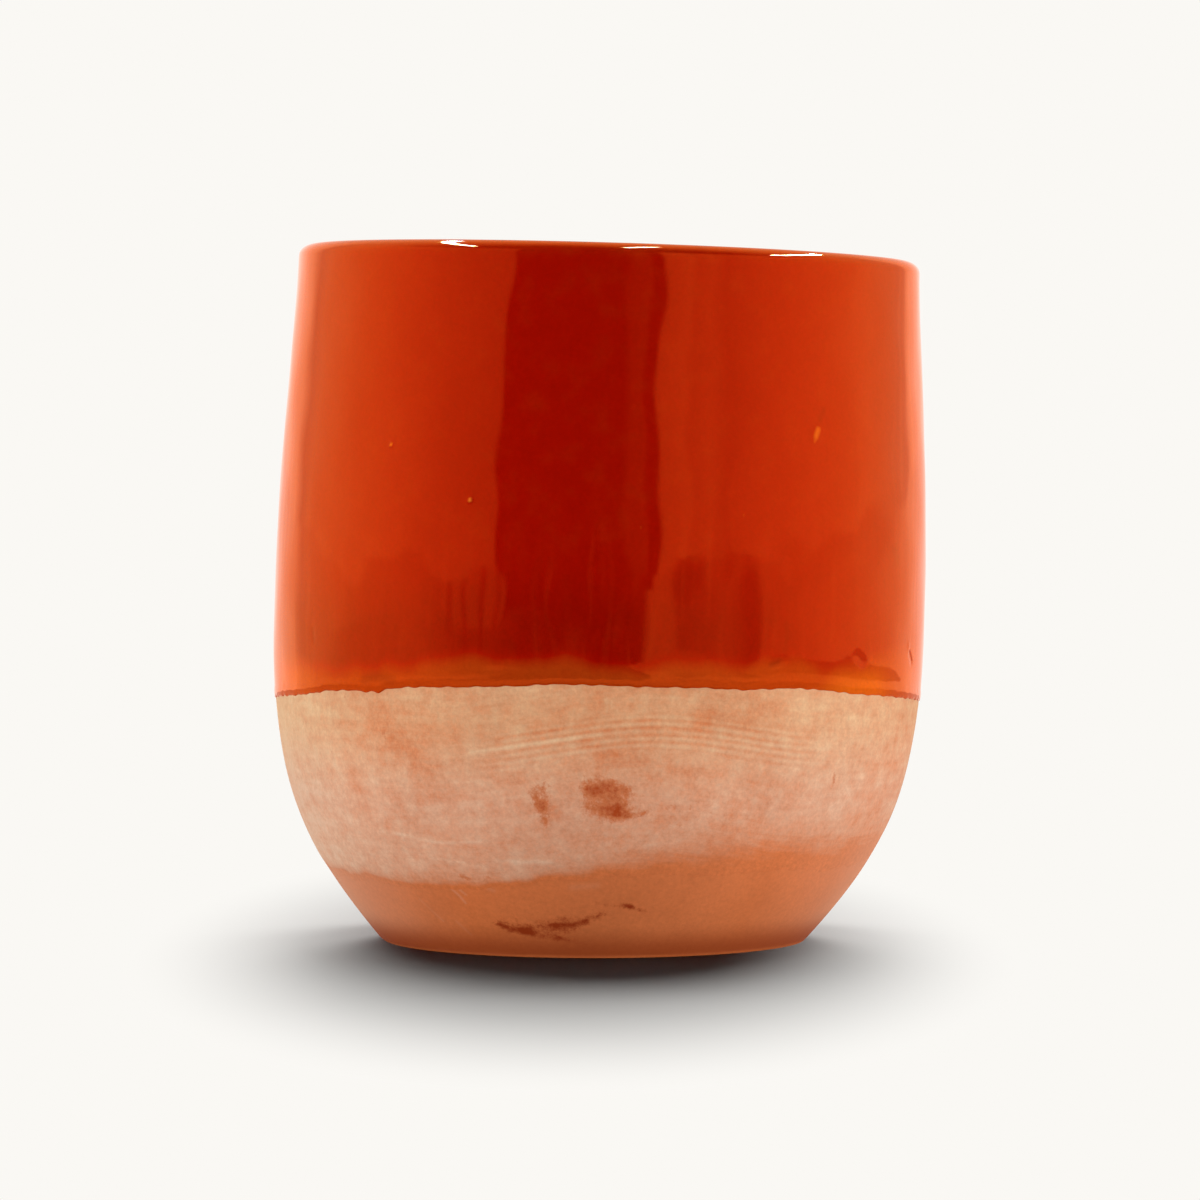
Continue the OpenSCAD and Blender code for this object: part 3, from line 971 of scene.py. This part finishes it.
class CUP_OT_outer_glaze(bpy.types.Operator):
    """Dip the outside and the lip in the glossy glaze"""

    bl_idname = "clay_cup.outer_glaze"
    bl_label = "Dip Outer Glaze"

    def execute(self, context):
        sizes = context.scene.cup_sizes
        turn = turns(FINE_COLUMNS)
        outer, inner = outer_outline(sizes), inner_outline(sizes)
        outline = np.vstack([outer, inner[1:]])
        low = crossing(sizes, outer, turn, lambda turn, y: glaze_line(sizes, turn, y))
        lip = distance_along(outer)[-1]
        high = lip + sizes.glaze_lap + LAP_END
        near = np.array(GLAZE_EDGE_ROWS)[:, None] * MM
        first = low + near
        last = high - near[::-1] + 0 * low
        share = np.linspace(0, 1, GLAZE_ROWS)[1:-1, None]
        rest = first[-1] + (last[0] - first[-1]) * share
        wall = Wall(sizes, outline, np.vstack([first, rest, last]), turn)
        from_edge = np.minimum(wall.along - low, high - wall.along)
        round_edge = rounded(from_edge, GLAZE_EDGE_ROUND)
        roll = ROLL * np.exp(-((from_edge - ROLL_PLACE) / ROLL_WIDTH) ** 2)
        outside = 1 - smooth(lip - EVEN_LIP, lip, wall.along)
        base = unevenness(turn, wall.height, sizes) * outside
        dents = strokes(sizes, outer, wall.points, GLAZE_DENTS) * MM
        thickness = sizes.outer_glaze_thickness * round_edge * (1 + roll) + dents * round_edge
        front = wall.lifted(base + thickness)
        back = wall.lifted(base)[::-3]
        mesh = shell_mesh("outer_glaze", np.vstack([front, back]), closed=True)
        # Thin over the lip, and down to a wavy line a few millimetres above the lower edge
        fall = wall.along - low + ripples(GLAZE_SAG, turn) * MM
        drained = DRAINED * (1 - smooth(*DRAINED_FADE, fall))
        pooled = POOLED * around(GLAZE_POOL, turn) * band(*POOLED_BAND, fall)
        off_lip = THIN_LIP * np.exp(-((wall.along - lip) / THIN_LIP_WIDTH) ** 2)
        store(mesh, "thin", drained - pooled + off_lip)
        # Flecks and smudges, with painted sheen on the sides and painted shade in the dents
        store(mesh, "flecks_and_painted_light", strokes(sizes, outer, wall.points, GLAZE_FLECKS_AND_PAINTED_LIGHT))
        material = glaze_material("red_orange_glaze", context.scene.cup_colours)
        add_piece(context, "outer_glaze", mesh, material)
        return {"FINISHED"}


class CUP_OT_liner_glaze(bpy.types.Operator):
    """Pour the glaze inside the cup"""

    bl_idname = "clay_cup.liner_glaze"
    bl_label = "Pour Liner Glaze"

    def execute(self, context):
        sizes = context.scene.cup_sizes
        turn = turns(PLAIN_COLUMNS)
        inner = inner_outline(sizes)
        end = distance_along(inner)[-1]
        rows = np.linspace(sizes.glaze_lap + LINER_START, end - POLE_RADIUS, LINER_ROWS)[:, None]
        wall = Wall(sizes, inner, rows, turn)
        spiral = finger_spiral(turn, wall.height, sizes)
        round_edge = rounded(wall.along - rows[0], LINER_EDGE_ROUND)
        front = wall.lifted(spiral + sizes.liner_glaze_thickness * round_edge)
        middle = Wall(sizes, inner, np.array([[end]]), turn[:1])
        rings = np.vstack([wall.lifted(spiral)[::-3], front[1:]])
        top = middle.lifted(np.full((1, 1), sizes.liner_glaze_thickness))[0, 0]
        mesh = shell_mesh("liner_glaze", rings, first_pole=middle.points[0, 0], last_pole=top)
        for name in ("thin", "flecks_and_painted_light"):
            store(mesh, name, np.zeros(rings.shape[:2]))
        material = glaze_material("liner_glaze", context.scene.cup_colours)
        add_piece(context, "liner_glaze", mesh, material)
        return {"FINISHED"}


# Level of the plain room round the cup: turn in degrees from behind the camera, level
ROOM = (
    (-180, 0.95), (-155, 1.85), (-141, 2.15), (-133, 1.45), (-127, 1.85), (-112, 2.15), (-88, 2.05),
    (-75, 1.75), (-58, 1.25), (-42, 0.92), (-37.6, 0.80), (-36.2, 0.05), (0, 0.03), (6, 0.02), (9.5, 0.24),
    (14, 0.28), (15.5, 0.05), (18.6, 0.05), (20.5, 1.10), (29, 1.50), (32, 1.20), (38, 1.42), (44, 1.10),
    (56, 1.52), (71, 1.80), (107, 2.15), (131, 1.56), (137.5, 1.50), (142, 2.15), (155, 1.80), (180, 0.95),
)
# The same just below eye level, with narrow darker parts
ROOM_LOW = (
    (-180, 0.95), (-155, 1.60), (-142, 2.00), (-136, 2.05), (-130, 1.57), (-124, 1.72), (-109, 1.95),
    (-94, 1.70), (-82, 1.49), (-67, 1.25), (-58, 0.87), (-56, 0.85), (-54, 0.50), (-52, 0.84), (-50, 0.82),
    (-48, 0.36), (-46, 0.80), (-43.4, 0.74), (-41.6, 0.28), (-39.8, 0.72), (-37.6, 0.64), (-36.1, 0.22),
    (-34.6, 0.58), (-33, 0.05), (0, 0.02), (7, 0.03), (10, 0.20), (13, 0.05), (16.5, 0.05), (18.5, 0.97),
    (24.5, 0.95), (27.0, 0.42), (29, 0.45), (34, 0.40), (38, 0.95), (46.5, 0.70), (50, 0.95), (53, 0.75),
    (59.5, 1.26), (90, 1.62), (107, 1.75), (119, 1.60), (140, 1.98), (152, 1.71), (180, 0.95),
)
# The same near the table's far edge
ROOM_LOWEST = (
    (-180, 0.95), (-155, 1.66), (-145, 1.96), (-136, 2.17), (-130, 1.62), (-115, 1.83), (-100, 1.58),
    (-85, 1.42), (-70, 1.26), (-58, 0.82), (-56, 0.75), (-54, 0.50), (-52, 0.55), (-49.8, 0.50),
    (-48, 0.32), (-46, 0.45), (-43.4, 0.42), (-41.6, 0.25), (-39.5, 0.42), (-36.1, 0.35), (-34, 0.32),
    (-28, 0.18), (-25, 0.11), (-19, 0.13), (-15, 0.04), (-10, 0.13), (-7, 0.18), (-4, 0.02), (0, 0.00),
    (8, 0.06), (12, 0.12), (13.2, 0.15), (15.8, 1.00), (20, 1.10), (24.5, 1.05), (27.5, 0.60),
    (34, 0.68), (41, 0.82), (46, 0.95), (53, 0.50), (56, 0.56), (58.5, 1.15), (65, 1.33),
    (77, 1.50), (86, 1.62), (95, 1.75), (104, 1.80), (119, 1.80), (131, 1.85), (143, 1.90),
    (152, 1.65), (180, 0.95),
)
# For each lower table, its slope from side to side and the heights where it starts and takes over
LOWER_LEVELS = ((ROOM_LOW, 0.016, 0.023, 0.015), (ROOM_LOWEST, 0.0, -0.010, -0.020))
# Degrees above eye level where the walls end and the skylight is full
SKYLIGHT_START = 28
SKYLIGHT_FULL = 48

# Lamps that light only the cup: turn and height in degrees, power in W
CUP_LAMPS = (
    ("left_window", -80, 14, 7.5), ("far_left_window", -110, 15, 1.5),
    ("right_window", 80, 12, 6.2), ("far_right_window", 110, 15, 1.0), ("front_fill", 10, 12, 5.4),
    ("table_glow_right", 60, -40, 0.7), ("table_glow_front", 10, -42, 4.3),
)
# Long narrow lamps that show only as gleams in the outer glaze: turn, height, width and length in m, W
GLEAMS = (
    ("gleam_left", -111, 62, 1.10, 0.04, 130), ("gleam_middle", 80, 83, 0.40, 0.03, 40),
    ("gleam_right", 110, 51, 0.80, 0.04, 150),
)
# Lamps that light the table too
TABLE_LAMPS = (
    ("skylight", 180, 75, 3.4), ("high_left", -140, 45, 2.1), ("high_right", 140, 45, 2.7),
    ("back_window", 180, 20, 9.2),
)
# Distance in m and size in m of the lamps that light the cup, and of those that light the table
CUP_LAMP_DISTANCE = 1.0
CUP_LAMP_SIZE = (0.5, 0.6)
TABLE_LAMP_DISTANCE = 1.2
TABLE_LAMP_SIZE = (0.4, 0.4)
# Height in m of the point that the lamps face
LAMP_AIM = 0.04
# Blue enough to come back almost white from the red glaze
GLEAM_COLOUR = "#3079FF"

TABLE_RADIUS = 0.40
# The table shows as an oval, three times as long from front to back as across and a little off the
# middle. It fades into the backdrop between these distances in m
TABLE_OVAL = (3.0, 1.0, 1.0)
TABLE_OVAL_SHIFT = (0.006, 0.0, 0.0)
TABLE_FADE = (0.060, 0.172)

CAMERA_PLACE = (0, -0.7115, 0.0639)
CAMERA_LENS = 162.2
# Degrees that the camera looks down and to the right
CAMERA_DOWN = 1.545
CAMERA_RIGHT = 0.11


def add_room_levels(tree, turn, table):
    """The room's level at each turn, from a ramp for its left half and one for its right half."""
    halves = []
    for low, high in ((-180, 0), (0, 180)):
        share = add_node(tree, "ShaderNodeMapRange", inputs={
            "Value": turn, "From Min": math.radians(low), "From Max": math.radians(high)})
        ramp = add_node(tree, "ShaderNodeValToRGB", inputs={"Fac": share.outputs[0]})
        elements = ramp.color_ramp.elements
        rows = [row for row in table if low <= row[0] <= high]
        for degrees, level in rows[1:-1]:
            elements.new((degrees - low) / 180).color = (level, level, level, 1)
        for element, (degrees, level) in ((elements[0], rows[0]), (elements[-1], rows[-1])):
            element.color = (level, level, level, 1)
        halves.append(ramp.outputs["Color"])
    right = add_node(tree, "ShaderNodeMath", {"operation": "GREATER_THAN"}, {0: turn, 1: 0.0})
    return lay_over(tree, halves[0], (right.outputs[0], halves[1]))


def light_room(scene, colours):
    """A white room, bright on both sides and dark behind the camera."""
    world = bpy.data.worlds.new("light_room")
    scene.world = world
    world.use_nodes = True
    tree = world.node_tree
    tree.nodes.clear()
    direction = add_node(tree, "ShaderNodeTexCoord").outputs["Generated"]
    parts = add_node(tree, "ShaderNodeSeparateXYZ", inputs={0: direction})
    forward = add_node(tree, "ShaderNodeMath", {"operation": "MULTIPLY"}, {
        0: parts.outputs["Y"], 1: -1.0})
    turn = add_node(tree, "ShaderNodeMath", {"operation": "ARCTAN2"}, {
        0: parts.outputs["X"], 1: forward.outputs[0]})
    walls = add_room_levels(tree, turn.outputs[0], ROOM)
    for table, slope, start, end in LOWER_LEVELS:
        tilted = add_node(tree, "ShaderNodeMath", {"operation": "MULTIPLY_ADD"}, {
            0: parts.outputs["X"], 1: slope, 2: parts.outputs["Z"]})
        lowness = add_node(tree, "ShaderNodeMapRange", inputs={
            "Value": tilted.outputs[0], "From Min": start, "From Max": end})
        levels = add_room_levels(tree, turn.outputs[0], table)
        walls = lay_over(tree, walls, (lowness.outputs[0], levels))
    # Uneven darker and lighter parts below eye level
    clutter = add_node(tree, "ShaderNodeVectorMath", {"operation": "MULTIPLY"}, {
        0: direction, 1: (20.0, 20.0, 9.0)})
    clutter = add_node(tree, "ShaderNodeTexNoise", inputs={
        "Vector": clutter.outputs[0], "Scale": 1.0, "Detail": 3.0, "Roughness": 0.6})
    clutter = add_node(tree, "ShaderNodeMapRange", inputs={
        "Value": clutter.outputs["Fac"], "From Min": 0.50, "From Max": 0.75, "To Max": 0.30})
    below = add_node(tree, "ShaderNodeMapRange", inputs={
        "Value": parts.outputs["Z"], "From Min": 0.10, "From Max": 0.01, "To Min": 0.02})
    clutter = add_node(tree, "ShaderNodeMath", {"operation": "MULTIPLY"}, {
        0: clutter.outputs[0], 1: below.outputs[0]})
    walls = add_node(tree, "ShaderNodeMix", {"data_type": "RGBA", "blend_type": "ADD"}, {
        0: 1.0, 6: walls, 7: clutter.outputs[0]}).outputs[2]
    overhead = add_node(tree, "ShaderNodeMapRange", {"interpolation_type": "SMOOTHSTEP"}, {
        "Value": parts.outputs["Z"], "From Min": math.sin(math.radians(SKYLIGHT_START)),
        "From Max": math.sin(math.radians(SKYLIGHT_FULL))})
    skylight = add_node(tree, "ShaderNodeMapRange", {"interpolation_type": "SMOOTHSTEP"}, {
        "Value": parts.outputs["Y"], "From Min": -0.45, "From Max": 0.35, "To Min": 0.10, "To Max": 1.90})
    room = lay_over(tree, walls, (overhead.outputs[0], skylight.outputs[0]))
    seen = add_node(tree, "ShaderNodeLightPath")
    plain = add_node(tree, "ShaderNodeMath", {"operation": "MAXIMUM"}, {
        0: seen.outputs["Is Camera Ray"], 1: seen.outputs["Is Transmission Ray"]})
    # The room shows only in gloss, and lights nothing else
    lit = add_node(tree, "ShaderNodeBackground", inputs={
        "Color": room, "Strength": seen.outputs["Is Glossy Ray"]})
    backdrop = add_node(tree, "ShaderNodeBackground", inputs={
        "Color": list(colours.backdrop), "Strength": 1.0})
    both = add_node(tree, "ShaderNodeMixShader", inputs={
        0: plain.outputs[0], 1: lit.outputs[0], 2: backdrop.outputs[0]})
    add_node(tree, "ShaderNodeOutputWorld", inputs={"Surface": both.outputs[0]})


def add_lamp(scene, name, turn, height, distance, size, watts, lit=None, gleam=False):
    """A soft lamp that faces the cup and lights all or one collection; a gleam only shows in gloss."""
    light = bpy.data.lights.new(name, "AREA")
    light.shape = "RECTANGLE"
    light.size, light.size_y = size
    light.energy = watts
    lamp = bpy.data.objects.new(name, light)
    turn, height = math.radians(turn), math.radians(height)
    away = Vector((
        math.sin(turn) * math.cos(height), -math.cos(turn) * math.cos(height), math.sin(height)))
    lamp.location = away * distance + Vector((0, 0, LAMP_AIM))
    lamp.rotation_euler = away.to_track_quat("Z", "Y").to_euler()
    if gleam:
        light.color = linear(GLEAM_COLOUR)[:3]
    lamp.visible_glossy = gleam
    lamp.visible_diffuse = not gleam
    if lit is not None:
        lamp.light_linking.receiver_collection = lit
        lamp.light_linking.blocker_collection = lit
    scene.collection.objects.link(lamp)


def floor_material(colours):
    """Matt white tabletop that takes the cup's shadow and fades into the backdrop far away."""
    material = empty_material("white_table")
    tree = material.node_tree
    place = add_node(tree, "ShaderNodeTexCoord").outputs["Object"]
    oval = add_node(tree, "ShaderNodeVectorMath", {"operation": "MULTIPLY_ADD"}, {
        0: place, 1: TABLE_OVAL, 2: TABLE_OVAL_SHIFT})
    reach = add_node(tree, "ShaderNodeVectorMath", {"operation": "LENGTH"}, {0: oval.outputs[0]})
    far = add_node(tree, "ShaderNodeMapRange", {"interpolation_type": "SMOOTHSTEP"}, {
        "Value": reach.outputs["Value"], "From Min": TABLE_FADE[0], "From Max": TABLE_FADE[1]})
    seen = add_node(tree, "ShaderNodeLightPath")
    looked_at = 0.0
    for ray in ("Is Camera Ray", "Is Glossy Ray", "Is Transmission Ray"):
        looked_at = add_node(tree, "ShaderNodeMath", {"operation": "MAXIMUM"}, {
            0: looked_at, 1: seen.outputs[ray]}).outputs[0]
    share = add_node(tree, "ShaderNodeMath", {"operation": "MULTIPLY"}, {
        0: far.outputs[0], 1: looked_at})
    table = add_node(tree, "ShaderNodeBsdfPrincipled", inputs={
        "Base Color": linear("#E7E6E3"), "Roughness": 0.9, "Specular IOR Level": 0.1})
    backdrop = add_node(tree, "ShaderNodeEmission", inputs={
        "Color": list(colours.backdrop), "Strength": 1.0})
    both = add_node(tree, "ShaderNodeMixShader", inputs={
        0: share.outputs[0], 1: table.outputs[0], 2: backdrop.outputs[0]})
    add_node(tree, "ShaderNodeOutputMaterial", inputs={"Surface": both.outputs[0]})
    return material


class CUP_OT_studio(bpy.types.Operator):
    """Set the cup on a pale table in a light room, with the camera in front"""

    bl_idname = "clay_cup.studio"
    bl_label = "Set Up Studio"

    def execute(self, context):
        scene = context.scene
        colours = scene.cup_colours
        bpy.ops.mesh.primitive_circle_add(vertices=128, radius=TABLE_RADIUS, fill_type="NGON")
        table = context.object
        table.name = "table_top"
        table.data.materials.append(floor_material(colours))
        table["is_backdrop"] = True
        light_room(scene, colours)
        cup = bpy.data.collections.new("cup_pieces")
        dipped = bpy.data.collections.new("dipped_pieces")
        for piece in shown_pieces():
            cup.objects.link(piece)
            # Only the liner passes its red on, so the slip and the table keep their own colours
            piece.visible_diffuse = piece.name == "liner_glaze_surface"
            if piece.name == "outer_glaze_surface":
                dipped.objects.link(piece)
        for name, turn, height, watts in CUP_LAMPS:
            add_lamp(scene, name, turn, height, CUP_LAMP_DISTANCE, CUP_LAMP_SIZE, watts, cup)
        for name, turn, height, width, length, watts in GLEAMS:
            size = (width, length)
            add_lamp(scene, name, turn, height, CUP_LAMP_DISTANCE, size, watts, dipped, gleam=True)
        for name, turn, height, watts in TABLE_LAMPS:
            add_lamp(scene, name, turn, height, TABLE_LAMP_DISTANCE, TABLE_LAMP_SIZE, watts)
        lens = bpy.data.cameras.new("front_camera")
        lens.lens = CAMERA_LENS
        lens.sensor_width = 36
        lens.clip_start = 0.01
        camera = bpy.data.objects.new("front_camera", lens)
        camera.location = CAMERA_PLACE
        camera.rotation_euler = (math.radians(90 - CAMERA_DOWN), 0, math.radians(-CAMERA_RIGHT))
        scene.collection.objects.link(camera)
        scene.camera = camera
        scene.view_settings.view_transform = "Standard"
        return {"FINISHED"}


class CUP_PT_sidebar(bpy.types.Panel):
    """Makes the cup's pieces and its studio"""

    bl_label = "Half-Glazed Clay Cup"
    bl_space_type = "VIEW_3D"
    bl_region_type = "UI"
    bl_category = "Clay Cup"

    def draw(self, context):
        for step in STEPS:
            self.layout.operator(step.bl_idname)
        for group in (context.scene.cup_sizes, context.scene.cup_colours):
            for name in group.__annotations__:
                self.layout.prop(group, name)


STEPS = (CUP_OT_clay_body, CUP_OT_slip_wash, CUP_OT_outer_glaze, CUP_OT_liner_glaze, CUP_OT_studio)
CLASSES = (CupSizes, CupColours, *STEPS, CUP_PT_sidebar)


def register():
    """Registers the add-on's classes and its settings on the scene."""
    for cls in CLASSES:
        bpy.utils.register_class(cls)
    bpy.types.Scene.cup_sizes = bpy.props.PointerProperty(type=CupSizes)
    bpy.types.Scene.cup_colours = bpy.props.PointerProperty(type=CupColours)


def unregister():
    """Takes the classes and settings away again."""
    del bpy.types.Scene.cup_colours
    del bpy.types.Scene.cup_sizes
    for cls in reversed(CLASSES):
        bpy.utils.unregister_class(cls)


def main():
    """Makes every piece and the studio."""
    register()
    bpy.ops.clay_cup.clay_body()
    bpy.ops.clay_cup.slip_wash()
    bpy.ops.clay_cup.outer_glaze()
    bpy.ops.clay_cup.liner_glaze()
    bpy.ops.clay_cup.studio()


if __name__ == "__main__":
    main()
